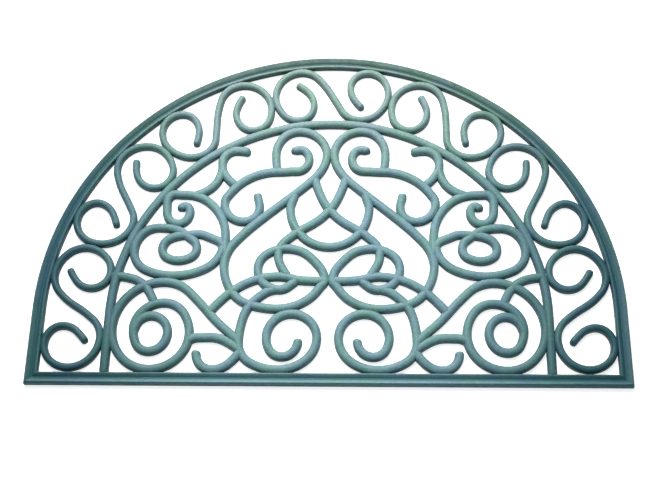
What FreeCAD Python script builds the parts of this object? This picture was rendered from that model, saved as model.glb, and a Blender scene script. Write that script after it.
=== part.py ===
"""Half-round openwork door mat, moulded in rubber in the manner of a wrought-iron scroll panel.

The mat lies flat on the floor with its straight edge towards -Y and its round edge towards +Y.
The origin is at floor level, in the middle of the mat's outline. Lengths are in millimetres.
Every member of the pattern is a flat-bottomed bar, swept along a chain of tangent arcs.
"""
import FreeCAD, Part
import Sketcher
import os
from math import atan2, cos, degrees, pi, radians, sin

Vector = FreeCAD.Vector

# Driving sizes
SIZES = (
    ("mat_width", 750, "length of the straight edge, outside the rim"),
    ("leg_height", 100, "straight foot at each end of the round edge"),
    ("arch_leg_height", 94, "straight leg at each end of the inner arch"),
    ("rim_width", 16, "width of the rim round the outside"),
    ("rim_height", 10, "height of the rim's crest"),
    ("rim_wall_height", 7.5, "height of the rim's outer wall"),
    ("rim_crest_inset", 2, "from the outer wall to the crest"),
    ("groove_inset", 9, "from the outer wall to the groove inside the crest"),
    ("groove_height", 5, "height of the groove's floor"),
    ("bead_inset", 14, "from the outer wall to the bead beside the openwork"),
    ("bead_height", 8.5, "height of that bead"),
    ("inner_wall_height", 6.5, "height of the rim's inner wall, under the bead"),
    ("bar_height", 9, "height of a bar"),
)
# The pattern is drawn to the mat's width: these sizes are shares of another size
SIZE_SHARES = (
    ("arch_radius", "mat_width", 0.36933, "centreline radius of the inner arch"),
    ("bar_width", "arch_radius", 0.042, "width of the inner arch and of the bars inside it"),
    ("scroll_width", "arch_radius", 0.035, "width of the border scrolls, which are thinner"),
    ("melt", "bar_width", 0.13, "how far two bars that run side by side melt into one another"),
)

doc = FreeCAD.newDocument("door_mat")
sheet = doc.addObject("Spreadsheet::Sheet", "sizes")
for row, (alias, value, meaning) in enumerate(SIZES, 1):
    sheet.set(f"A{row}", meaning)
    sheet.set(f"B{row}", str(value))
    sheet.setAlias(f"B{row}", alias)
for row, (alias, whole, share, meaning) in enumerate(SIZE_SHARES, len(SIZES) + 1):
    sheet.set(f"A{row}", meaning)
    sheet.set(f"B{row}", f"={whole} * {share}")
    sheet.setAlias(f"B{row}", alias)
doc.recompute()


def size(alias):
    """A driving size, read from the sheet."""
    return float(getattr(sheet, alias))


# Sizes that follow from the driving ones, as numbers and as rules for the document
depth = size("leg_height") + size("mat_width") / 2
DEPTH_RULE = "(sizes.leg_height + sizes.mat_width / 2)"
crown = size("arch_leg_height") + size("arch_radius")
CROWN_RULE = "(sizes.arch_leg_height + sizes.arch_radius)"

# Places named by what they lean on instead of by a share
SEATS = {
    "centre": (size("bar_width") / 2 - size("melt") / 2, "sizes.bar_width / 2 - sizes.melt / 2"),
    "rail": (size("rim_width") + size("bar_width") / 2 - size("melt"),
             "sizes.rim_width + sizes.bar_width / 2 - sizes.melt"),
}

# The pattern's right half. A station is a share of the arch's radius across from the
# centreline, a share of the arch's crown up from the straight edge, and a heading in degrees.
HEART_SHARES = (
    (0.256, 0.806, 83), (0.264, 0.876, 90), (0.152, 0.969, 180), ("centre", 0.871, 272),
    (0.101, 0.757, 318), (0.354, 0.592, 318), (0.487, 0.434, 270), (0.455, 0.348, 242),
    (0.235, 0.274, 180), (0.043, 0.350, 123), ("centre", 0.380, 90), (0.094, 0.473, 42),
    (0.199, 0.500, 0), (0.329, 0.423, 270), (0.227, 0.345, 180), (0.152, 0.377, 138),
)
HEART_CURL_SHARES = (
    (0.181, 0.879, 105), (0.148, 0.894, 180), (0.103, 0.854, 270), (0.162, 0.806, 0),
    (0.253, 0.803, 0), (0.466, 0.726, 308), (0.500, 0.677, 270), (0.406, 0.605, 180),
    (0.334, 0.652, 98), (0.347, 0.717, 82),
)
COMMA_SHARES = (
    (0.711, 0.647, 100), (0.686, 0.664, 180), (0.662, 0.642, 270), (0.715, 0.596, 0),
    (0.773, 0.647, 90), (0.764, 0.701, 130), (0.686, 0.710, 180), (0.496, 0.590, 255),
    (0.487, 0.480, 268),
)
HOOK_SHARES = ((0.386, 0.883, 8), (0.455, 0.889, 358), (0.522, 0.838, 272), (0.458, 0.752, 218))
LINK_SHARES = ((0.5215, 0.8236, 262), (0.534, 0.774, 292), (0.639, 0.709, 345))
EYE_INNER_SHARES = (
    (0.495, 0.504, 75), (0.579, 0.549, 25), (0.679, 0.551, 357), (0.780, 0.497, 270),
    (0.704, 0.454, 180), (0.619, 0.500, 90),
)
EYE_OUTER_SHARES = (
    (0.619, 0.500, 90), (0.679, 0.555, 38), (0.801, 0.580, 0), (0.912, 0.491, 270),
    (0.722, 0.396, 180), (0.496, 0.504, 100),
)
SPIRAL_OUTER_SHARES = (
    (0.404, 0.154, 47), (0.545, 0.259, 50), (0.758, 0.372, 0), (0.982, 0.202, 270),
    (0.801, "rail", 180), (0.628, 0.181, 90), (0.751, 0.295, 0),
)
SPIRAL_MIDDLE_SHARES = ((0.751, 0.295, 0), (0.884, 0.199, 270), (0.809, 0.119, 180))
SPIRAL_INNER_SHARES = (
    (0.809, 0.119, 180), (0.727, 0.186, 90), (0.805, 0.247, 0), (0.875, 0.210, 288),
)
SPIRAL_LINK_SHARES = ((0.993, 0.394, 180), (0.839, 0.350, 232), (0.798, 0.295, 248))
LEAF_SHARES = ((0.631, 0.156, 140), (0.534, 0.170, 180), (0.3945, 0.1235, 218))
LEAF_HOOK_SHARES = ((0.590, 0.124, 280), (0.516, "rail", 180), (0.390, 0.121, 125))
VOLUTE_SHARES = (
    (0.245, 0.344, 355), (0.330, 0.310, 318), (0.403, 0.154, 270), (0.224, "rail", 180),
    (0.049, 0.170, 90), (0.166, 0.256, 0), (0.278, 0.170, 270), (0.206, 0.102, 180),
    (0.134, 0.167, 85),
)
BOW_SHARES = (
    (0.018, 0.377, 0), (0.108, 0.379, 2), (0.235, 0.394, 0), (0.451, 0.333, 320),
    (0.545, 0.259, 308),
)
KNOT_SHARES = (
    (-0.074, 0.774, 285), (0, 0.650, 308), (0.202, 0.531, 318), (0.236, 0.477, 270),
    (0.191, 0.396, 235),
)
U_BAR_SHARES = ((0.168, 0.709, 285), (0.186, 0.652, 268), (0, 0.507, 180))

# One scroll of the border, about its own middle: shares of its reach along the band and of
# its lift across it, and a heading from the band's own direction.
SCROLL_SHARES = (
    (-0.60, -0.52, 35), (-0.325, 0.40, 92), (-0.62, 1.0, 180), (-1.0, 0.06, 270),
    (-0.52, -1.0, 0), (0, 0, 61), (0.52, 1.0, 0), (1.0, -0.06, 270), (0.62, -1.0, 180),
    (0.325, -0.40, 92), (0.60, 0.52, 35),
)
# Where the scrolls of the right half meet, as shares of half the band's length
SCROLL_END_SHARES = (0.1376, 0.414, 0.7007, 0.996)


def direction(heading):
    return Vector(cos(radians(heading)), sin(radians(heading)), 0)


def left_of(heading):
    return Vector(-sin(radians(heading)), cos(radians(heading)), 0)


def along(share):
    """A station's place across the mat, as a number and as a rule."""
    if share in SEATS:
        return SEATS[share]
    return size("arch_radius") * share, f"sizes.arch_radius * {share}"


def upward(share):
    """A station's place up from the straight edge, as a number and as a rule."""
    if share in SEATS:
        return SEATS[share]
    return crown * share, f"{CROWN_RULE} * {share}"


def stations(shares):
    """Stations as (point, heading, rule across, rule upward)."""
    placed = []
    for across_share, up_share, heading in shares:
        across, across_rule = along(across_share)
        up, up_rule = upward(up_share)
        placed.append((Vector(across, up, 0), heading, across_rule, up_rule))
    return placed


def mirrored(station):
    """The same station on the other side of the centreline, passed the other way."""
    point, heading, across_rule, up_rule = station
    return Vector(-point.x, point.y, 0), -heading, f"-({across_rule})", up_rule


def arc_joint(start, start_heading, end, end_heading):
    """Where two arcs meet smoothly between two stations, with tangents of equal length."""
    leaving = direction(start_heading)
    arriving = direction(end_heading)
    step = end - start
    both = leaving + arriving
    bend = 2 * (1 - leaving.dot(arriving))
    ahead = step.dot(both)
    if bend < 1e-9:
        tangent = step.dot(step) / (2 * ahead)
    else:
        tangent = ((ahead * ahead + bend * step.dot(step)) ** 0.5 - ahead) / bend
    return (start + end + (leaving - arriving) * tangent) * 0.5


def arc_between(start, heading, end):
    """The arc that leaves start on the heading and reaches end, and whether it turns left."""
    step = end - start
    side = left_of(heading)
    radius = step.dot(step) / (2 * side.dot(step))
    centre = start + side * radius
    first = atan2(start.y - centre.y, start.x - centre.x)
    last = atan2(end.y - centre.y, end.x - centre.x)
    circle = Part.Circle(centre, Vector(0, 0, 1), abs(radius))
    turns_left = radius > 0
    low, high = (first, last) if turns_left else (last, first)
    if high < low:
        high += 2 * pi
    return Part.ArcOfCircle(circle, low, high), turns_left


def plane(body, role):
    return [feature for feature in body.Origin.OriginFeatures if feature.Role == role][0]


def new_body(name):
    """A body whose zero is in the middle of the straight edge."""
    body = doc.addObject("PartDesign::Body", name)
    body.setExpression(".Placement.Base.y", f"-{DEPTH_RULE} / 2")
    return body


def new_sketch(body, name, role="XY_Plane"):
    sketch = body.newObject("Sketcher::SketchObject", name)
    sketch.AttachmentSupport = [(plane(body, role), "")]
    sketch.MapMode = "FlatFace"
    return sketch


def chain_path(body, name, placed):
    """A path of tangent arcs through the stations, each held at its place by the sheet."""
    sketch = new_sketch(body, name)
    ends = []
    for (start, heading, _, _), (end, end_heading, _, _) in zip(placed, placed[1:]):
        joint = arc_joint(start, heading, end, end_heading)
        first_arc, left = arc_between(start, heading, joint)
        ends.append((sketch.addGeometry(first_arc, False), 1 if left else 2))
        last_arc, back_left = arc_between(end, end_heading + 180, joint)
        ends.append((sketch.addGeometry(last_arc, False), 2 if back_left else 1))
    other_end = {1: 2, 2: 1}
    rules = [
        Sketcher.Constraint("Tangent", arc, other_end[corner], following, next_corner)
        for (arc, corner), (following, next_corner) in zip(ends, ends[1:])
    ]
    bound = []
    for number, (point, _, across_rule, up_rule) in enumerate(placed):
        if number < len(placed) - 1:
            arc, corner = ends[2 * number]
        else:
            arc, corner = ends[-1][0], other_end[ends[-1][1]]
        if not across_rule:
            continue
        if point.x == 0:
            rules.append(Sketcher.Constraint("PointOnObject", arc, corner, -2))
        else:
            bound.append((len(rules), across_rule))
            rules.append(Sketcher.Constraint("DistanceX", arc, corner, point.x))
        bound.append((len(rules), up_rule))
        rules.append(Sketcher.Constraint("DistanceY", arc, corner, point.y))
    sketch.addConstraint(rules)
    for number, rule in bound:
        sketch.setExpression(f"Constraints[{number}]", rule)
    return sketch


def arch_path(body, name, leg, radius, radius_rule, foot, foot_rule):
    """A path up one leg, round the half circle and down the other leg."""
    spring = size(leg)
    sketch = new_sketch(body, name)
    right_foot = Vector(radius, foot, 0)
    right_spring = Vector(radius, spring, 0)
    left_spring = Vector(-radius, spring, 0)
    left_foot = Vector(-radius, foot, 0)
    round_top = Part.Circle(Vector(0, spring, 0), Vector(0, 0, 1), radius)
    right = sketch.addGeometry(Part.LineSegment(right_foot, right_spring), False)
    top = sketch.addGeometry(Part.ArcOfCircle(round_top, 0, pi), False)
    left = sketch.addGeometry(Part.LineSegment(left_spring, left_foot), False)
    sketch.addConstraint([
        Sketcher.Constraint("Tangent", right, 2, top, 1),
        Sketcher.Constraint("Tangent", top, 2, left, 1),
        Sketcher.Constraint("Vertical", right),
        Sketcher.Constraint("Vertical", left),
        Sketcher.Constraint("PointOnObject", top, 3, -2),
        Sketcher.Constraint("DistanceY", top, 3, spring),
        Sketcher.Constraint("Radius", top, radius),
        Sketcher.Constraint("DistanceY", right, 1, foot),
        Sketcher.Constraint("DistanceY", left, 2, foot),
    ])
    sketch.setExpression("Constraints[5]", f"sizes.{leg}")
    sketch.setExpression("Constraints[6]", radius_rule)
    sketch.setExpression("Constraints[7]", foot_rule)
    sketch.setExpression("Constraints[8]", foot_rule)
    return sketch


def closed_outline(sketch, corners):
    """Draws a closed outline; each corner is (x, y, rule for x, rule for y)."""
    points = [Vector(x, y, 0) for x, y, _, _ in corners]
    lines = [
        sketch.addGeometry(Part.LineSegment(start, end), False)
        for start, end in zip(points, points[1:] + points[:1])
    ]
    for line, following in zip(lines, lines[1:] + lines[:1]):
        sketch.addConstraint(Sketcher.Constraint("Coincident", line, 2, following, 1))
    for line, (x, y, x_rule, y_rule) in zip(lines, corners):
        for kind, value, rule in (("DistanceX", x, x_rule), ("DistanceY", y, y_rule)):
            if value == 0:
                axis = -2 if kind == "DistanceX" else -1
                sketch.addConstraint(Sketcher.Constraint("PointOnObject", line, 1, axis))
            else:
                number = sketch.addConstraint(Sketcher.Constraint(kind, line, 1, value))
                sketch.setExpression(f"Constraints[{number}]", rule)


def stand_across(sketch, station, inward):
    """Stands a section upright at a station, its own X to the left of the heading if inward."""
    point, heading, across_rule, up_rule = station
    side = left_of(heading) * (1 if inward else -1)
    upright = Vector(0, 0, 1)
    turn = FreeCAD.Rotation(side, upright, side.cross(upright), "ZXY")
    sketch.AttachmentOffset = FreeCAD.Placement(point, turn)
    if across_rule:
        sketch.setExpression(".AttachmentOffset.Base.x", across_rule)
        sketch.setExpression(".AttachmentOffset.Base.y", up_rule)


def bar_section(body, name, station, width):
    """A bar's section, standing on its flat underside."""
    sketch = new_sketch(body, name)
    stand_across(sketch, station, False)
    half, half_rule = size(width) / 2, f"sizes.{width} / 2"
    tall, tall_rule = size("bar_height"), "sizes.bar_height"
    closed_outline(sketch, (
        (-half, 0, f"-{half_rule}", ""),
        (half, 0, half_rule, ""),
        (half, tall, half_rule, tall_rule),
        (-half, tall, f"-{half_rule}", tall_rule),
    ))
    return sketch


def rim_corners():
    """The rim's section: outer wall, crest, groove and bead, from the outside inwards."""
    names = (
        ("", ""), ("", "rim_wall_height"), ("rim_crest_inset", "rim_height"),
        ("groove_inset", "groove_height"), ("bead_inset", "bead_height"),
        ("rim_width", "inner_wall_height"), ("rim_width", ""),
    )
    return [
        (size(inset) if inset else 0, size(height) if height else 0,
         f"sizes.{inset}", f"sizes.{height}")
        for inset, height in names
    ]


def sweep(body, name, section, path):
    pipe = body.newObject("PartDesign::AdditivePipe", name)
    pipe.Profile = section
    pipe.Spine = path
    pipe.Mode = "Binormal"
    pipe.Binormal = Vector(0, 0, 1)
    return pipe


def swept_bar(name, *strokes, width="bar_width"):
    """A bar made of one or more strokes; each goes on where the one before it ends."""
    body = new_body(name)
    for number, placed in enumerate(strokes, 1):
        path = chain_path(body, f"{name}_path_{number}", placed)
        section = bar_section(body, f"{name}_section_{number}", placed[0], width)
        doc.recompute()
        sweep(body, f"{name}_sweep_{number}", section, path)
    return body


def mitre(body, name, on_leg):
    """Takes the corner off the rim's leg or the rail along the line between them."""
    half, half_rule = size("mat_width") / 2, "sizes.mat_width / 2"
    inner, inner_rule = half - size("rim_width"), f"({half_rule} - sizes.rim_width)"
    up, up_rule = size("rim_width"), "sizes.rim_width"
    third = (inner, 0, inner_rule, "") if on_leg else (half, up, half_rule, up_rule)
    corners = ((half, 0, half_rule, ""), third, (inner, up, inner_rule, up_rule))
    sketch = new_sketch(body, name)
    closed_outline(sketch, corners)
    closed_outline(sketch, [(-x, y, f"-({rule})", y_rule) for x, y, rule, y_rule in corners])
    doc.recompute()
    before = body.Shape.Volume
    pocket = body.newObject("PartDesign::Pocket", f"{name}_cut")
    pocket.Profile = sketch
    pocket.Type = "ThroughAll"
    pocket.Reversed = True
    doc.recompute()
    if body.Shape.Volume >= before:
        raise RuntimeError(f"{name} took nothing off")


def other_side(source, name):
    """The same member on the other side of the centreline."""
    copy = doc.addObject("Part::Mirroring", name)
    copy.Source = source
    copy.Normal = Vector(1, 0, 0)
    return copy


def group(name, members):
    gathered = doc.addObject("Part::Compound", name)
    gathered.Links = members
    return gathered


def trimmed(source, name, neighbours):
    """A member cut back to the faces of the members that it runs into."""
    cut = doc.addObject("Part::Cut", name)
    cut.Base = source
    cut.Tool = group(f"{name}_neighbours", neighbours)
    return cut


# Rim: the round edge with its straight feet, and the straight rail, mitred at the corners
half_width = size("mat_width") / 2
rim_arch = new_body("rim_arch")
rim_path = arch_path(rim_arch, "rim_path", "leg_height", half_width, "sizes.mat_width / 2", 0, "0")
rim_section = new_sketch(rim_arch, "rim_section")
stand_across(rim_section, (Vector(half_width, 0, 0), 90, "sizes.mat_width / 2", "0"), True)
closed_outline(rim_section, rim_corners())
doc.recompute()
sweep(rim_arch, "rim_sweep", rim_section, rim_path)
doc.recompute()
mitre(rim_arch, "rim_mitre", True)

bottom_rail = new_body("bottom_rail")
rail_section = new_sketch(bottom_rail, "rail_section", "YZ_Plane")
closed_outline(rail_section, rim_corners())
rail = bottom_rail.newObject("PartDesign::Pad", "rail_run")
rail.Profile = rail_section
rail.setExpression("Length", "sizes.mat_width")
rail.Midplane = True
doc.recompute()
mitre(bottom_rail, "rail_mitre", False)

# Inner arch, with its legs standing against the rail
arch_foot = size("rim_width")
inner_arch = new_body("inner_arch")
inner_arch_path = arch_path(inner_arch, "inner_arch_path", "arch_leg_height",
                            size("arch_radius"), "sizes.arch_radius",
                            arch_foot, "sizes.rim_width")
inner_arch_section = bar_section(
    inner_arch, "inner_arch_section",
    (Vector(size("arch_radius"), arch_foot, 0), 90, "sizes.arch_radius", "sizes.rim_width"),
    "bar_width",
)
doc.recompute()
sweep(inner_arch, "inner_arch_sweep", inner_arch_section, inner_arch_path)
doc.recompute()

# Border scrolls, bent along the band between the inner arch and the rim. The rim's centre
# stands higher than the inner arch's, so the band widens towards the crown.
band_inner = size("arch_radius") + size("bar_width") / 2
band_outer = half_width - size("rim_width")
band_middle = (band_inner + band_outer) / 2
band_quarter = band_middle * pi / 2
band_half = band_quarter + size("arch_leg_height") - size("rim_width")
scroll_lift = (band_outer - band_inner - size("scroll_width")) / 2 + size("melt")
crown_rise = size("leg_height") - size("arch_leg_height")


def band_station(distance, lift_share, heading):
    """A place on the right half of the band: so far from the crown, so far off its middle."""
    if abs(distance) <= band_quarter:
        turned = distance / band_middle
        spread = crown_rise * cos(turned) / 2
        reach = band_middle + spread + lift_share * (scroll_lift + spread)
        across = reach * sin(turned)
        up = size("arch_leg_height") + reach * cos(turned)
        return Vector(across, up, 0), heading - degrees(turned), "", ""
    up = size("arch_leg_height") + band_quarter - distance
    return Vector(band_middle + lift_share * scroll_lift, up, 0), heading - 90, "", ""


def border_scroll(name, start, end):
    """One scroll of the border between two distances from the crown."""
    middle = (start + end) / 2
    reach = (end - start - size("scroll_width") + size("melt")) / 2
    placed = [
        band_station(middle - along_share * reach, lift_share, 180 - heading)
        for along_share, lift_share, heading in SCROLL_SHARES
    ]
    return swept_bar(name, placed, width="scroll_width")


scroll_ends = [share * band_half for share in SCROLL_END_SHARES]
crown_scroll = border_scroll("crown_scroll", -scroll_ends[0], scroll_ends[0])
side_scrolls = [
    border_scroll(f"side_scroll_{number}", start, end)
    for number, (start, end) in enumerate(zip(scroll_ends, scroll_ends[1:]), 1)
]
doc.recompute()
frame = [rim_arch, bottom_rail, inner_arch]
crown_trim = trimmed(crown_scroll, "crown_scroll_trim", [rim_arch, inner_arch])
scroll_trims = []
for number, scroll in enumerate(side_scrolls, 1):
    beside = scroll_trims[-1] if scroll_trims else crown_trim
    scroll_trims.append(trimmed(scroll, f"side_scroll_trim_{number}", frame + [beside]))
left_scrolls = [other_side(trim, f"{trim.Name}_left") for trim in scroll_trims]
# The crown scroll is an S, so it meets its left neighbour in another place than its right one
left_scrolls[0] = trimmed(left_scrolls[0], "side_scroll_left_trim", [crown_trim])
border = [crown_trim] + scroll_trims + left_scrolls

# Heart bar, kept to its own side of the centreline where the two hearts touch
heart = swept_bar("heart", stations(HEART_SHARES))
right_half = doc.addObject("Part::Box", "right_half")
right_half.setExpression("Length", "sizes.mat_width / 2")
right_half.setExpression("Width", DEPTH_RULE)
right_half.setExpression("Height", "sizes.rim_height")
right_half.setExpression(".Placement.Base.y", f"-{DEPTH_RULE} / 2")
heart_half = doc.addObject("Part::Common", "heart_half")
heart_half.Base = heart
heart_half.Tool = right_half
heart_trim = trimmed(heart_half, "heart_trim", [inner_arch])
heart_left = other_side(heart_trim, "heart_left")

# U bar between the hearts, one bar over both sides
u_right = stations(U_BAR_SHARES)
u_bar = swept_bar("u_bar_sweep", u_right + [mirrored(station) for station in u_right[-2::-1]])
u_bar_trim = trimmed(u_bar, "u_bar", [heart_trim, heart_left])

# Knot bars, which cross on the centreline: the left one gives way to the right one
knot = swept_bar("knot", stations(KNOT_SHARES))
knot_trim = trimmed(knot, "knot_trim", [heart_trim, heart_left, u_bar_trim])
knot_left = trimmed(other_side(knot_trim, "knot_mirror"), "knot_left", [knot_trim])

# The other members of the right half, each trimmed by those before it
curl = swept_bar("heart_curl", stations(HEART_CURL_SHARES))
curl_trim = trimmed(curl, "heart_curl_trim", [heart_trim])
hook = swept_bar("hook", stations(HOOK_SHARES))
hook_trim = trimmed(hook, "hook_trim", [inner_arch, curl_trim])
link = swept_bar("link", stations(LINK_SHARES))
link_trim = trimmed(link, "link_trim", [hook_trim, curl_trim])
comma = swept_bar("comma", stations(COMMA_SHARES))
comma_trim = trimmed(comma, "comma_trim", [heart_trim, inner_arch, curl_trim, link_trim])
eye = swept_bar("eye", stations(EYE_INNER_SHARES), stations(EYE_OUTER_SHARES))
eye_trim = trimmed(eye, "eye_trim", [heart_trim, comma_trim, inner_arch])
bow = swept_bar("bow", stations(BOW_SHARES))
bow_trim = trimmed(bow, "bow_trim", [heart_trim, knot_trim])
spiral = swept_bar("spiral", stations(SPIRAL_OUTER_SHARES), stations(SPIRAL_MIDDLE_SHARES),
                   stations(SPIRAL_INNER_SHARES))
spiral_trim = trimmed(spiral, "spiral_trim", [eye_trim, bow_trim, inner_arch, bottom_rail])
volute = swept_bar("volute", stations(VOLUTE_SHARES))
volute_trim = trimmed(volute, "volute_trim", [heart_trim, bottom_rail, spiral_trim])
leaf = swept_bar("leaf", stations(LEAF_SHARES))
leaf_trim = trimmed(leaf, "leaf_trim", [spiral_trim, volute_trim])
leaf_hook = swept_bar("leaf_hook", stations(LEAF_HOOK_SHARES))
leaf_hook_trim = trimmed(leaf_hook, "leaf_hook_trim",
                         [leaf_trim, volute_trim, spiral_trim, bottom_rail])
spiral_link = swept_bar("spiral_link", stations(SPIRAL_LINK_SHARES))
spiral_link_trim = trimmed(spiral_link, "spiral_link_trim", [inner_arch, spiral_trim])

# The nodes: single members as they are, and left and right members as pairs
nodes = {
    "rim_arch": rim_arch,
    "bottom_rail": bottom_rail,
    "inner_arch": inner_arch,
    "border_scrolls": group("border_scrolls", border),
    "heart_bars": group("heart_bars", [heart_trim, heart_left]),
    "u_bar": u_bar_trim,
    "knot_bars": group("knot_bars", [knot_trim, knot_left]),
}
for node, member in (
    ("heart_curls", curl_trim),
    ("hook_bars", hook_trim),
    ("hook_links", link_trim),
    ("comma_scrolls", comma_trim),
    ("eye_scrolls", eye_trim),
    ("bow_bars", bow_trim),
    ("corner_spirals", spiral_trim),
    ("base_volutes", volute_trim),
    ("leaf_bars", leaf_trim),
    ("leaf_hooks", leaf_hook_trim),
    ("spiral_links", spiral_link_trim),
):
    nodes[node] = group(node, [member, other_side(member, f"{node}_left")])

doc.recompute()
for node, member in nodes.items():
    member.Label = node

# Checks before anything is written
for made in doc.Objects:
    if "Invalid" in made.State or "Error" in made.State:
        raise RuntimeError(f"{made.Name} failed: {made.State}")
for node, member in nodes.items():
    shape = member.Shape
    if shape.isNull() or not shape.isValid() or not shape.Solids:
        raise RuntimeError(f"{node} has no sound solid")

os.makedirs("parts", exist_ok=True)
for node, member in nodes.items():
    member.Shape.exportStep(os.path.join("parts", f"{node}.step"))
    print(node, len(member.Shape.Solids), "solids", round(member.Shape.Volume), "cubic mm")
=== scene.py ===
"""Half-round openwork rubber door mat: the moulded bars, their rubber, the floor and the camera.

Every member of the pattern is a round-topped bar, swept along the same chain of arcs as its
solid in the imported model, and stands for that solid. The rim and the rail have a section of
their own. Lengths are in metres.
"""
from math import atan2, copysign, cos, degrees, pi, radians, sin, sqrt
import bpy
from mathutils import Matrix, Vector


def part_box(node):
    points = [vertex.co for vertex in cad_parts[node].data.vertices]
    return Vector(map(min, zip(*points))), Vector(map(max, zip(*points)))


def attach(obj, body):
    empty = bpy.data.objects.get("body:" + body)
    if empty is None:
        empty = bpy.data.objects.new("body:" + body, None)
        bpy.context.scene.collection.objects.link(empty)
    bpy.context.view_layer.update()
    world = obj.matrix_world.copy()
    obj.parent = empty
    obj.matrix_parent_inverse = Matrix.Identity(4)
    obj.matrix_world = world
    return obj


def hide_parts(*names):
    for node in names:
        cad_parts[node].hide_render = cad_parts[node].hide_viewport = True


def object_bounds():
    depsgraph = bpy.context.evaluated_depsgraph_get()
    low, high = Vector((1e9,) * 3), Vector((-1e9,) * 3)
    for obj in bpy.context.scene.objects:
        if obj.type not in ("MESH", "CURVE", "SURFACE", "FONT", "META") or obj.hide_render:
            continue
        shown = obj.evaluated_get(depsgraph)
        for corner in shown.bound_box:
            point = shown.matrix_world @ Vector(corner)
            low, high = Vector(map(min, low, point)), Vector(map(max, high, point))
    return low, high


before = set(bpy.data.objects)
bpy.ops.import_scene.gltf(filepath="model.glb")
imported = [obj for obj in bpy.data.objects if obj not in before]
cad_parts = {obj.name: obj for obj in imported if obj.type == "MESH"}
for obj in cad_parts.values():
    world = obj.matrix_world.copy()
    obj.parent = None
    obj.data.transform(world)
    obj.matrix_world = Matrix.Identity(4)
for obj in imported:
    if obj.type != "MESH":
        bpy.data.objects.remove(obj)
cad_low, cad_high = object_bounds()
bpy.ops.object.select_all(action="DESELECT")

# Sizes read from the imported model
half_width = cad_high.x
edge_y = cad_low.y
_, rim_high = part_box("rim_arch")
rail_low, rail_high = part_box("bottom_rail")
_, arch_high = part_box("inner_arch")
rim_height = rim_high.z
rim_width = rail_high.y - rail_low.y
bar_height = arch_high.z
rim_leg = (cad_high.y - cad_low.y) - half_width
arch_leg = (arch_high.y - edge_y) - arch_high.x

# The pattern is drawn to the mat's width, as in the model
ARCH_SHARE = 0.36933
BAR_SHARE = 0.042
SCROLL_SHARE = 0.035
MELT_SHARE = 0.13
arch_radius = half_width * 2 * ARCH_SHARE
bar_width = arch_radius * BAR_SHARE
scroll_width = arch_radius * SCROLL_SHARE
melt = bar_width * MELT_SHARE
crown_y = arch_leg + arch_radius

# A bar's section: a straight wall, and above it a round top with full shoulders
BAR_WALL = 0.0035
CROWN_SIDES = 14
FULLNESS = 0.9

# The rim's corners from its outer wall inwards, each with how far in, how high and how soft it
# is: outer foot, outer shoulder, crest, groove, bead, inner shoulder and inner foot
RIM_CORNERS = (
    (0, 0, 0), (0, 0.0075, 0.0010), (0.0020, rim_height, 0.0008), (0.0090, 0.0050, 0.0014),
    (0.0140, 0.0085, 0.0012), (rim_width, 0.0065, 0.0035), (rim_width, 0, 0),
)
SOFT_STEPS = 5

# A free end is rounded down to a small tip, ring by ring
END_ROUND = 0.004
END_TIP = 0.12
ROUNDING_ANGLES = (0, 12, 25, 40, 57, 90)

# A joined end reaches into the bar that it meets, and sinks a little below its top
END_REACH = 0.003
END_SINK = 0.14
SINK_LENGTH = END_REACH * 2

# The path's own rings lie clear of its end rings: they start at this many times the length of
# the first ones, and stop this far before the last ones
START_CLEAR = 1.2
STOP_CLEAR = 0.001

# How finely a path is divided, and within what two directions or places count as the same
ARC_STEP = radians(5)
LONGEST_STEP = 0.006
PARALLEL = 1e-9
STRAIGHT = 1e-6
MERGE = 1e-6
TOUCH = 1e-5
SMOOTH_BELOW = radians(38)

# Where a bar touches its twin across the centreline, and where it touches the rail
SEATS = {
    "centre": bar_width / 2 - melt / 2,
    "rail": rim_width + bar_width / 2 - melt,
}

# The pattern's right half. A station is a share of the arch's radius across from the
# centreline, a share of the arch's crown up from the straight edge, and a heading in degrees.
HEART = (
    (0.256, 0.806, 83), (0.264, 0.876, 90), (0.152, 0.969, 180), ("centre", 0.871, 272),
    (0.101, 0.757, 318), (0.354, 0.592, 318), (0.487, 0.434, 270), (0.455, 0.348, 242),
    (0.235, 0.274, 180), (0.043, 0.350, 123), ("centre", 0.380, 90), (0.094, 0.473, 42),
    (0.199, 0.500, 0), (0.329, 0.423, 270), (0.227, 0.345, 180), (0.152, 0.377, 138),
)
HEART_CURL = (
    (0.181, 0.879, 105), (0.148, 0.894, 180), (0.103, 0.854, 270), (0.162, 0.806, 0),
    (0.253, 0.803, 0), (0.466, 0.726, 308), (0.500, 0.677, 270), (0.406, 0.605, 180),
    (0.334, 0.652, 98), (0.347, 0.717, 82),
)
COMMA = (
    (0.711, 0.647, 100), (0.686, 0.664, 180), (0.662, 0.642, 270), (0.715, 0.596, 0),
    (0.773, 0.647, 90), (0.764, 0.701, 130), (0.686, 0.710, 180), (0.496, 0.590, 255),
    (0.487, 0.480, 268),
)
HOOK = ((0.386, 0.883, 8), (0.455, 0.889, 358), (0.522, 0.838, 272), (0.458, 0.752, 218))
LINK = ((0.5215, 0.8236, 262), (0.534, 0.774, 292), (0.639, 0.709, 345))
EYE = (
    (0.495, 0.504, 75), (0.579, 0.549, 25), (0.679, 0.551, 357), (0.780, 0.497, 270),
    (0.704, 0.454, 180), (0.619, 0.500, 90), (0.679, 0.555, 38), (0.801, 0.580, 0),
    (0.912, 0.491, 270), (0.722, 0.396, 180), (0.496, 0.504, 100),
)
SPIRAL = (
    (0.404, 0.154, 47), (0.545, 0.259, 50), (0.758, 0.372, 0), (0.982, 0.202, 270),
    (0.801, "rail", 180), (0.628, 0.181, 90), (0.751, 0.295, 0), (0.884, 0.199, 270),
    (0.809, 0.119, 180), (0.727, 0.186, 90), (0.805, 0.247, 0), (0.875, 0.210, 288),
    (0.884, 0.178, 262),
)
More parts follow.
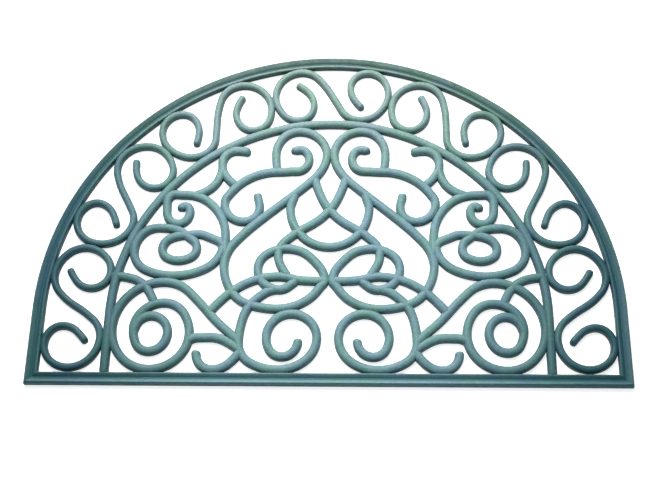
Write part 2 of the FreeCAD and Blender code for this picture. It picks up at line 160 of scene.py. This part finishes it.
SPIRAL_LINK = ((0.993, 0.394, 180), (0.839, 0.350, 232), (0.798, 0.295, 248))
LEAF = ((0.631, 0.156, 140), (0.534, 0.170, 180), (0.3945, 0.1235, 218))
LEAF_HOOK = ((0.590, 0.124, 280), (0.516, "rail", 180), (0.390, 0.121, 125))
VOLUTE = (
    (0.245, 0.344, 355), (0.330, 0.310, 318), (0.403, 0.154, 270), (0.224, "rail", 180),
    (0.049, 0.170, 90), (0.166, 0.256, 0), (0.278, 0.170, 270), (0.206, 0.102, 180),
    (0.134, 0.167, 85),
)
BOW = (
    (0.018, 0.377, 0), (0.108, 0.379, 2), (0.235, 0.394, 0), (0.451, 0.333, 320),
    (0.545, 0.259, 308),
)
KNOT = (
    (-0.074, 0.774, 285), (0, 0.650, 308), (0.202, 0.531, 318), (0.236, 0.477, 270),
    (0.191, 0.396, 235),
)
U_BAR = ((0.168, 0.709, 285), (0.186, 0.652, 268), (0, 0.507, 180))

# One scroll of the border, about its own middle: shares of its reach along the band and of
# its lift across it, and a heading from the band's own direction
SCROLL = (
    (-0.60, -0.52, 35), (-0.325, 0.40, 92), (-0.62, 1.0, 180), (-1.0, 0.06, 270),
    (-0.52, -1.0, 0), (0, 0, 61), (0.52, 1.0, 0), (1.0, -0.06, 270), (0.62, -1.0, 180),
    (0.325, -0.40, 92), (0.60, 0.52, 35),
)

# Where one border scroll ends and the next starts, as shares of the band from crown to rail
SCROLL_ENDS = (0.1376, 0.414, 0.7007, 0.996)


# Paths

def heading_of(angle):
    """The direction, one long, of a heading in degrees."""
    return Vector((cos(radians(angle)), sin(radians(angle))))


def stations(shares):
    """Stations as (place, heading), with the place measured from the straight edge."""
    placed = []
    for across, up, heading in shares:
        x = SEATS[across] if across in SEATS else arch_radius * across
        y = SEATS[up] if up in SEATS else crown_y * up
        placed.append((Vector((x, y)), heading))
    return placed


def arc_joint(start, start_heading, end, end_heading):
    """Where two arcs meet smoothly between two stations, with tangents of equal length."""
    leaving = heading_of(start_heading)
    arriving = heading_of(end_heading)
    step = end - start
    bend = 2 * (1 - leaving.dot(arriving))
    ahead = step.dot(leaving + arriving)
    if bend < PARALLEL:
        tangent = step.dot(step) / (2 * ahead)
    else:
        tangent = (sqrt(ahead * ahead + bend * step.dot(step)) - ahead) / bend
    return (start + end + (leaving - arriving) * tangent) / 2


def arc_points(start, heading, end):
    """The arc's points, without start, and its turn, from start on the heading to end."""
    step = end - start
    ahead = heading_of(heading)
    across = ahead.x * step.y - ahead.y * step.x
    turn = 2 * atan2(across, ahead.dot(step))
    if abs(turn) < STRAIGHT:
        count = max(1, round(step.length / LONGEST_STEP))
        return [start + step * number / count for number in range(1, count + 1)], turn
    radius = step.dot(step) / (2 * across)
    centre = start + Vector((-ahead.y, ahead.x)) * radius
    reach = start - centre
    count = max(2, round(abs(turn) / ARC_STEP), round(abs(turn * radius) / LONGEST_STEP))
    points = [
        centre + Matrix.Rotation(turn * number / count, 2) @ reach
        for number in range(1, count + 1)
    ]
    return points, turn


def chain(placed):
    """The points of a chain of tangent arcs through the stations."""
    points = [placed[0][0]]
    for (start, heading), (end, end_heading) in zip(placed, placed[1:]):
        joint = arc_joint(start, heading, end, end_heading)
        first, turn = arc_points(start, heading, joint)
        last, _ = arc_points(joint, heading + degrees(turn), end)
        points += first + last
    return points


# A stroke is a path and what its ends are: each one free or run into another bar, or both
# left square for a mitre
FREE = (True, True)
FREE_START = (True, False)
FREE_END = (False, True)
JOINED = (False, False)
SQUARE = None


def mirrored(points):
    """The same path on the other side of the centreline, drawn the other way."""
    return [Vector((-point.x, point.y)) for point in reversed(points)]


def other_side(stroke):
    """The stroke of a member's twin on the other side of the centreline."""
    points, free = stroke
    return mirrored(points), free[::-1]


def both_sides(shares, free=JOINED):
    """The stroke of a member and of its twin on the other side."""
    stroke = (chain(stations(shares)), free)
    return [stroke, other_side(stroke)]


def arch_points(radius, leg, foot):
    """Up one leg, round the half circle and down the other leg."""
    count = round(pi * radius / LONGEST_STEP)
    half_circle = [
        Vector((radius * cos(pi * number / count), leg + radius * sin(pi * number / count)))
        for number in range(count + 1)
    ]
    return [Vector((radius, foot))] + half_circle + [Vector((-radius, foot))]


# Band between the inner arch and the rim, and the scrolls bent along it. The rim's centre
# stands higher than the inner arch's, so the band widens towards the crown.
band_inner = arch_radius + bar_width / 2
band_outer = half_width - rim_width
band_middle = (band_inner + band_outer) / 2
band_quarter = band_middle * pi / 2
band_half = band_quarter + arch_leg - rim_width
scroll_lift = (band_outer - band_inner - scroll_width) / 2 + melt
crown_rise = rim_leg - arch_leg


def band_station(distance, lift_share, heading):
    """A place on the right half of the band: so far from the crown, so far off its middle."""
    if abs(distance) <= band_quarter:
        turned = distance / band_middle
        spread = crown_rise * cos(turned) / 2
        reach = band_middle + spread + lift_share * (scroll_lift + spread)
        place = Vector((reach * sin(turned), arch_leg + reach * cos(turned)))
        return place, heading - degrees(turned)
    place = Vector((band_middle + lift_share * scroll_lift, arch_leg + band_quarter - distance))
    return place, heading - 90


def border_scroll(start, end):
    """The path of one scroll of the border between two distances from the crown."""
    middle = (start + end) / 2
    reach = (end - start - scroll_width + melt) / 2
    return chain([
        band_station(middle - along_share * reach, lift_share, 180 - heading)
        for along_share, lift_share, heading in SCROLL
    ])


# Sections, as closed outlines of (across, up)

def bar_outline(width):
    """Flat underneath, low straight walls and a round top with full shoulders."""
    def full(share):
        return copysign(abs(share) ** FULLNESS, share)

    half = width / 2
    rise = bar_height - BAR_WALL
    crown = []
    for number in range(CROWN_SIDES + 1):
        angle = pi * number / CROWN_SIDES
        crown.append((half * full(cos(angle)), BAR_WALL + rise * full(sin(angle))))
    return [(-half, 0), (half, 0)] + crown


def rim_outline():
    """The rim from its outer wall inwards: crest, groove and bead, all with soft edges."""
    outline = []
    for number, (across, up, soft) in enumerate(RIM_CORNERS):
        here = Vector((across, up))
        if not soft:
            outline.append((across, up))
            continue
        before = Vector(RIM_CORNERS[number - 1][:2]) - here
        after = Vector(RIM_CORNERS[number + 1][:2]) - here
        start = here + before.normalized() * min(soft, before.length / 2)
        end = here + after.normalized() * min(soft, after.length / 2)
        for step in range(SOFT_STEPS + 1):
            share = step / SOFT_STEPS
            point = start.lerp(here, share).lerp(here.lerp(end, share), share)
            outline.append((point.x, point.y))
    return outline


# Pieces

def section_curve(name, outline):
    """A closed flat outline that bars are swept with."""
    data = bpy.data.curves.new(name, "CURVE")
    data.dimensions = "2D"
    spline = data.splines.new("POLY")
    spline.points.add(len(outline) - 1)
    for point, (across, up) in zip(spline.points, outline):
        point.co = (across, up, 0, 1)
    spline.use_cyclic_u = True
    section = bpy.data.objects.new(name, data)
    bpy.context.collection.objects.link(section)
    return section


def reached_in(points, free):
    """The path with each end that isn't free run on a little, into the bar that it meets."""
    points = list(points)
    if not free[0]:
        points.insert(0, points[0] + (points[0] - points[1]).normalized() * END_REACH)
    if not free[1]:
        points.append(points[-1] + (points[-1] - points[-2]).normalized() * END_REACH)
    return points


def end_size(left, is_free):
    """A ring's size by the length left to the end: free ends are round, joined ends sink."""
    if is_free:
        inset = max(0.0, 1 - left / END_ROUND)
        return max(END_TIP, sqrt(max(0.0, 1 - inset * inset)))
    inset = max(0.0, 1 - left / SINK_LENGTH)
    return 1 - END_SINK * inset * inset


def with_end_rings(points, free):
    """The path and each ring's size, with close rings near its ends."""
    measured = [0.0]
    for here, there in zip(points, points[1:]):
        measured.append(measured[-1] + (there - here).length)
    length = measured[-1]

    rounding = [END_ROUND * (1 - cos(radians(angle))) for angle in ROUNDING_ANGLES]
    sinking = [0, END_REACH / 2, END_REACH, SINK_LENGTH]
    starts = rounding if free[0] else sinking
    stops = [length - left for left in reversed(rounding if free[1] else sinking)]
    first = starts[-1] * START_CLEAR
    last = stops[0] - STOP_CLEAR
    wanted = starts + [distance for distance in measured if first < distance < last] + stops

    placed, sizes, at = [], [], 0
    for distance in wanted:
        while at < len(points) - 2 and measured[at + 1] < distance:
            at += 1
        share = (distance - measured[at]) / (measured[at + 1] - measured[at])
        placed.append(points[at].lerp(points[at + 1], share))
        sizes.append(min(end_size(distance, free[0]), end_size(length - distance, free[1])))
    return placed, sizes


def swept_curve(name, strokes, section):
    """A curve object with the section along each stroke, standing up from the floor."""
    data = bpy.data.curves.new(name, "CURVE")
    data.dimensions = "3D"
    data.twist_mode = "Z_UP"
    data.bevel_mode = "OBJECT"
    data.bevel_object = section
    data.use_fill_caps = True
    for points, free in strokes:
        if free is SQUARE:
            sizes = [1] * len(points)
        else:
            points, sizes = with_end_rings(reached_in(points, free), free)
        spline = data.splines.new("POLY")
        spline.points.add(len(points) - 1)
        for point, place, size in zip(spline.points, points, sizes):
            point.co = (place.x, place.y + edge_y, 0, 1)
            point.radius = size
    curve = bpy.data.objects.new(name, data)
    bpy.context.collection.objects.link(curve)
    return curve


def sweep(name, strokes, section):
    """One closed mesh of a section swept along each stroke."""
    curve = swept_curve(name, strokes, section)
    bpy.ops.object.select_all(action="DESELECT")
    curve.select_set(True)
    bpy.context.view_layer.objects.active = curve
    bpy.ops.object.convert(target="MESH")
    piece = bpy.context.object
    piece.name = name
    bpy.ops.object.mode_set(mode="EDIT")
    bpy.ops.mesh.select_all(action="SELECT")
    bpy.ops.mesh.remove_doubles(threshold=MERGE)
    bpy.ops.mesh.normals_make_consistent(inside=False)
    bpy.ops.object.mode_set(mode="OBJECT")
    bpy.ops.object.shade_smooth_by_angle(angle=SMOOTH_BELOW)
    bpy.ops.object.select_all(action="DESELECT")
    return piece


def mitre_feet(rim):
    """Cuts the rim's two feet along the 45 degree lines between them and the rail."""
    for corner in rim.data.vertices:
        if corner.co.y < edge_y + TOUCH:
            corner.co.y = edge_y + half_width - abs(corner.co.x)


def mitre_ends(rail):
    """Cuts the rail's two ends along the same lines."""
    for corner in rail.data.vertices:
        if abs(corner.co.x) > half_width - TOUCH:
            corner.co.x = copysign(half_width - (corner.co.y - edge_y), corner.co.x)


def finish_piece(piece, member, material):
    """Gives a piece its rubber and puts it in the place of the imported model's member."""
    piece.data.materials.clear()
    piece.data.materials.append(material)
    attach(piece, "root")
    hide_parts(member)


# Rubber: its clean colours in the middle, at the sides, where they are darker as painted shade,
# and at the far edge, and the colours of its dust and painted highlight
CLEAN_MIDDLE = (0.022, 0.098, 0.117)
CLEAN_EDGE_PAINTED_SHADE = (0.003, 0.050, 0.070)
CLEAN_FAR = (0.018, 0.062, 0.060)
# Dust and a painted highlight, which lighten the crowns, near and far
DUST_AND_PAINTED_HIGHLIGHT = (0.176, 0.290, 0.302)
DUST_AND_PAINTED_HIGHLIGHT_FAR = (0.262, 0.352, 0.308)

# The rubber's hue drifts between these two, as factors of red, green and blue
GREENER = (0.92, 1.04, 0.91)
BLUER = (0.98, 0.985, 1.08)

# Where the near colours turn into the far ones, how far out the painted light falloff darkens
# the mat towards its sides (with the mat's depth counted half), and how high up a bar the
# painted shade at its foot reaches
FAR_FROM_TO = (0.02, 0.23)
PAINTED_FALLOFF_FROM_TO = (0.14, 0.38)
PAINTED_FALLOFF_SHAPE = (1, 0.5, 0)
FOOT_FROM_TO = (0.0015, 0.0045)
FOOT_SHADE = 0.45

# The noises' scale and detail, and the span that their values spread over
DRIFT_NOISE = (26, 2)
CLOUD_NOISE = (70, 5)
GRAIN_NOISE = (420, 4)
DRIFT_SPAN = (0.38, 0.62)
NOISE_SPAN = (0.3, 0.7)

# How much of the dust and painted highlight the grain and the clouds let lie, and the rubber's
# gloss and grain
GRAIN_DUST_AND_PAINTED_HIGHLIGHT = (0.55, 0.95)
CLOUD_DUST_AND_PAINTED_HIGHLIGHT = (0.75, 1.15)
ROUGHNESS = (0.42, 0.64)
SPECULAR = 0.3
GRAIN_STRENGTH = 0.35
GRAIN_DEPTH = 0.0003


def node(tree, kind, **settings):
    """A new node of a material, with its settings and its inputs' values filled in."""
    made = tree.nodes.new(kind)
    for name, value in settings.items():
        if name in made.inputs:
            made.inputs[name].default_value = value
        else:
            setattr(made, name, value)
    return made


def graded(tree, source, before, after, kind="LINEAR"):
    """A value carried over from one range to another, each range from low to high."""
    made = node(tree, "ShaderNodeMapRange", interpolation_type=kind)
    made.inputs["From Min"].default_value, made.inputs["From Max"].default_value = before
    made.inputs["To Min"].default_value, made.inputs["To Max"].default_value = after
    tree.links.new(source, made.inputs["Value"])
    return made.outputs["Result"]


def product(tree, first, second):
    """Two values multiplied."""
    made = node(tree, "ShaderNodeMath", operation="MULTIPLY")
    tree.links.new(first, made.inputs[0])
    tree.links.new(second, made.inputs[1])
    return made.outputs["Value"]


def blend(tree, amount, first, second, kind="MIX"):
    """Two colours mixed; each is a colour or another node's output."""
    made = node(tree, "ShaderNodeMix", data_type="RGBA", blend_type=kind)
    for name, colour in (("A", first), ("B", second)):
        socket = [each for each in made.inputs if each.name == name and each.type == "RGBA"][0]
        if isinstance(colour, tuple):
            socket.default_value = colour + (1,)
        else:
            tree.links.new(colour, socket)
    if isinstance(amount, float):
        made.inputs["Factor"].default_value = amount
    else:
        tree.links.new(amount, made.inputs["Factor"])
    return [each for each in made.outputs if each.type == "RGBA"][0]


def noise(tree, place, scale, detail):
    """A noise all over the mat; its spots are smaller where the scale is larger."""
    made = node(tree, "ShaderNodeTexNoise", Scale=scale, Detail=detail)
    tree.links.new(place, made.inputs["Vector"])
    return made.outputs["Fac"]


def painted_falloff_share(tree, place, painted_falloff_edge_share):
    """Painted light falloff: 1 in the mat's middle, falling to the given edge share out at its
    sides.
    """
    squeezed = node(tree, "ShaderNodeVectorMath", operation="MULTIPLY")
    squeezed.inputs[1].default_value = PAINTED_FALLOFF_SHAPE
    tree.links.new(place, squeezed.inputs[0])
    reach = node(tree, "ShaderNodeVectorMath", operation="LENGTH")
    tree.links.new(squeezed.outputs["Vector"], reach.inputs[0])
    return graded(tree, reach.outputs["Value"], PAINTED_FALLOFF_FROM_TO, (1, painted_falloff_edge_share), "SMOOTHSTEP")


def rubber(name, dust_and_painted_highlight_from_to, painted_falloff_edge_share):
    """Dark blue-green moulded rubber with fine grain. Its crowns are lighter with dust and a
    painted highlight, its colour darkens towards the mat's sides as painted light falloff, and
    towards each bar's foot as painted shade.
    """
    material = bpy.data.materials.new(name)
    material.use_nodes = True
    tree = material.node_tree
    shader = tree.nodes["Principled BSDF"]
    place = tree.nodes.new("ShaderNodeTexCoord").outputs["Object"]
    parts = tree.nodes.new("ShaderNodeSeparateXYZ")
    tree.links.new(place, parts.inputs["Vector"])
    up, back = parts.outputs["Z"], parts.outputs["Y"]
    drift = noise(tree, place, *DRIFT_NOISE)
    cloud = noise(tree, place, *CLOUD_NOISE)
    grain = noise(tree, place, *GRAIN_NOISE)

    far = graded(tree, back, FAR_FROM_TO, (0, 1))
    # Painted light falloff: the rubber darkens towards the mat's sides
    painted_falloff = painted_falloff_share(tree, place, painted_falloff_edge_share)
    clean_with_painted_falloff = blend(tree, far, blend(tree, painted_falloff, CLEAN_EDGE_PAINTED_SHADE, CLEAN_MIDDLE), CLEAN_FAR)
    dust_and_painted_highlight = blend(tree, far, DUST_AND_PAINTED_HIGHLIGHT, DUST_AND_PAINTED_HIGHLIGHT_FAR)
    # Dust and a painted highlight: lighter up on the crowns, in spots of grain and cloud
    dust_and_painted_highlight_share = graded(tree, up, dust_and_painted_highlight_from_to, (0, 1), "SMOOTHSTEP")
    dust_and_painted_highlight_share = product(tree, dust_and_painted_highlight_share, graded(tree, grain, NOISE_SPAN, GRAIN_DUST_AND_PAINTED_HIGHLIGHT))
    dust_and_painted_highlight_share = product(tree, dust_and_painted_highlight_share, graded(tree, cloud, NOISE_SPAN, CLOUD_DUST_AND_PAINTED_HIGHLIGHT))
    dusty_and_painted_highlight = blend(tree, product(tree, dust_and_painted_highlight_share, painted_falloff), clean_with_painted_falloff, dust_and_painted_highlight)

    hue = blend(tree, graded(tree, drift, DRIFT_SPAN, (0, 1)), GREENER, BLUER)
    # Painted shade: the colour darkens towards each bar's foot, down to FOOT_SHADE
    foot = graded(tree, up, FOOT_FROM_TO, (FOOT_SHADE, 1), "SMOOTHSTEP")
    shaded = node(tree, "ShaderNodeVectorMath", operation="SCALE")
    tree.links.new(blend(tree, 1.0, dusty_and_painted_highlight, hue, "MULTIPLY"), shaded.inputs[0])
    tree.links.new(foot, shaded.inputs["Scale"])
    tree.links.new(shaded.outputs["Vector"], shader.inputs["Base Color"])
    tree.links.new(graded(tree, cloud, NOISE_SPAN, ROUGHNESS), shader.inputs["Roughness"])
    shader.inputs["Specular IOR Level"].default_value = SPECULAR

    bump = node(tree, "ShaderNodeBump", Strength=GRAIN_STRENGTH, Distance=GRAIN_DEPTH)
    tree.links.new(grain, bump.inputs["Height"])
    tree.links.new(bump.outputs["Normal"], shader.inputs["Normal"])
    return material


# The mat. The rim stands taller than the bars, so its dust and painted highlight start higher
# up.
moulded_rubber = rubber("moulded_rubber", dust_and_painted_highlight_from_to=(0.0025, 0.0076), painted_falloff_edge_share=0.10)
rim_rubber = rubber("rim_rubber", dust_and_painted_highlight_from_to=(0.0048, 0.0086), painted_falloff_edge_share=0.34)
bar_section = section_curve("bar_section", bar_outline(bar_width))
scroll_section = section_curve("scroll_section", bar_outline(scroll_width))
rim_section = section_curve("rim_section", rim_outline())

scroll_ends = [share * band_half for share in SCROLL_ENDS]
side_scrolls = [
    (border_scroll(start, end), FREE) for start, end in zip(scroll_ends, scroll_ends[1:])
]
crown_scroll = (border_scroll(-scroll_ends[0], scroll_ends[0]), FREE)
border_scrolls = [crown_scroll] + side_scrolls + [other_side(each) for each in side_scrolls]
finish_piece(sweep("border_scrolls_moulding", border_scrolls, scroll_section),
             "border_scrolls", moulded_rubber)

u_right = chain(stations(U_BAR))
MEMBERS = {
    "inner_arch": [(arch_points(arch_radius, arch_leg, rim_width), JOINED)],
    "heart_bars": both_sides(HEART),
    "u_bar": [(u_right + mirrored(u_right)[1:], JOINED)],
    "knot_bars": both_sides(KNOT),
    "heart_curls": both_sides(HEART_CURL, FREE),
    "hook_bars": both_sides(HOOK, FREE_START),
    "hook_links": both_sides(LINK),
    "comma_scrolls": both_sides(COMMA, FREE_START),
    "eye_scrolls": both_sides(EYE),
    "bow_bars": both_sides(BOW),
    "corner_spirals": both_sides(SPIRAL, FREE_END),
    "base_volutes": both_sides(VOLUTE, FREE_END),
    "leaf_bars": both_sides(LEAF),
    "leaf_hooks": both_sides(LEAF_HOOK, FREE_START),
    "spiral_links": both_sides(SPIRAL_LINK),
}
for member, strokes in MEMBERS.items():
    finish_piece(sweep(f"{member}_moulding", strokes, bar_section), member, moulded_rubber)

rim_path = list(reversed(arch_points(half_width, rim_leg, 0)))
rim = sweep("rim_arch_moulding", [(rim_path, SQUARE)], rim_section)
mitre_feet(rim)
finish_piece(rim, "rim_arch", rim_rubber)
rail_path = [Vector((half_width, 0)), Vector((-half_width, 0))]
rail = sweep("bottom_rail_moulding", [(rail_path, SQUARE)], rim_section)
mitre_ends(rail)
finish_piece(rail, "bottom_rail", rim_rubber)
for section in (bar_section, scroll_section, rim_section):
    bpy.data.objects.remove(section)


# Floor, lights and camera

FLOOR_SIZE = 30
FLOOR_DROP = 0.0003
FLOOR_COLOUR = (0.9, 0.9, 0.9, 1)
FLOOR_GLOW = 0.70
FLOOR_BOUNCE = (0.36, 0.54, 0.58, 1)

# Each lamp's place, the point it is turned to, its width, its spread in degrees and its power
LAMPS = {
    "key_softbox": ((-0.20, 0.76, 1.22), (0, 0.02, 0), 0.7, 60, 4.25),
    "back_softbox": ((-0.3, 1.9, 0.5), (0, 0, 0), 1.2, 120, 12),
}
ROOM_COLOUR = (0.74, 0.95, 1.0, 1)
ROOM_LIGHT = 0.29

# The camera that was fitted to the outline in the photograph, with its angles in degrees and
# its lens and film width in millimetres
CAMERA_PLACE = (0.0503, -0.7135, 1.436)
CAMERA_HEADING = -3.92
CAMERA_DOWN = 65.22
CAMERA_ROLL = -3.41
CAMERA_LENS = 66.09
CAMERA_FILM = 36


def floor_material():
    """White floor that keeps soft shadows, and throws less light up than it shows."""
    material = bpy.data.materials.new("floor")
    material.use_nodes = True
    nodes = material.node_tree.nodes
    links = material.node_tree.links
    nodes.clear()
    output = nodes.new("ShaderNodeOutputMaterial")
    seen = nodes.new("ShaderNodeBsdfDiffuse")
    seen.inputs["Color"].default_value = FLOOR_COLOUR
    glow = nodes.new("ShaderNodeEmission")
    glow.inputs["Strength"].default_value = FLOOR_GLOW
    lit = nodes.new("ShaderNodeAddShader")
    links.new(seen.outputs["BSDF"], lit.inputs[0])
    links.new(glow.outputs["Emission"], lit.inputs[1])
    unseen = nodes.new("ShaderNodeBsdfDiffuse")
    unseen.inputs["Color"].default_value = FLOOR_BOUNCE
    path = nodes.new("ShaderNodeLightPath")
    shown = path.outputs["Is Camera Ray"]
    for ray in ("Is Glossy Ray", "Is Transmission Ray"):
        wider = nodes.new("ShaderNodeMath")
        wider.operation = "MAXIMUM"
        links.new(shown, wider.inputs[0])
        links.new(path.outputs[ray], wider.inputs[1])
        shown = wider.outputs["Value"]
    either = nodes.new("ShaderNodeMixShader")
    links.new(shown, either.inputs["Fac"])
    links.new(unseen.outputs["BSDF"], either.inputs[1])
    links.new(lit.outputs["Shader"], either.inputs[2])
    links.new(either.outputs["Shader"], output.inputs["Surface"])
    return material


def area_light(name, place, aim, width, spread, power):
    """A square softbox at a place, turned to a point."""
    data = bpy.data.lights.new(name, "AREA")
    data.shape = "SQUARE"
    data.size = width
    data.spread = radians(spread)
    data.energy = power
    lamp = bpy.data.objects.new(name, data)
    lamp.location = place
    lamp.rotation_euler = (Vector(aim) - Vector(place)).to_track_quat("-Z", "Y").to_euler()
    bpy.context.collection.objects.link(lamp)


bpy.ops.mesh.primitive_plane_add(size=FLOOR_SIZE, location=(0, 0, -FLOOR_DROP))
floor = bpy.context.object
floor.name = "floor"
floor.data.materials.append(floor_material())

for lamp_name, settings in LAMPS.items():
    area_light(lamp_name, *settings)
room = bpy.data.worlds.new("studio")
bpy.context.scene.world = room
room.use_nodes = True
background = room.node_tree.nodes["Background"]
background.inputs["Color"].default_value = ROOM_COLOUR
background.inputs["Strength"].default_value = ROOM_LIGHT

camera_data = bpy.data.cameras.new("camera")
camera_data.sensor_width = CAMERA_FILM
camera_data.lens = CAMERA_LENS
camera = bpy.data.objects.new("camera", camera_data)
bpy.context.collection.objects.link(camera)
camera.location = CAMERA_PLACE
camera.rotation_euler = (
    Matrix.Rotation(radians(-CAMERA_HEADING), 3, "Z")
    @ Matrix.Rotation(radians(90 - CAMERA_DOWN), 3, "X")
    @ Matrix.Rotation(radians(CAMERA_ROLL), 3, "Z")
).to_euler()
bpy.context.scene.camera = camera
bpy.context.scene.view_settings.view_transform = "Standard"
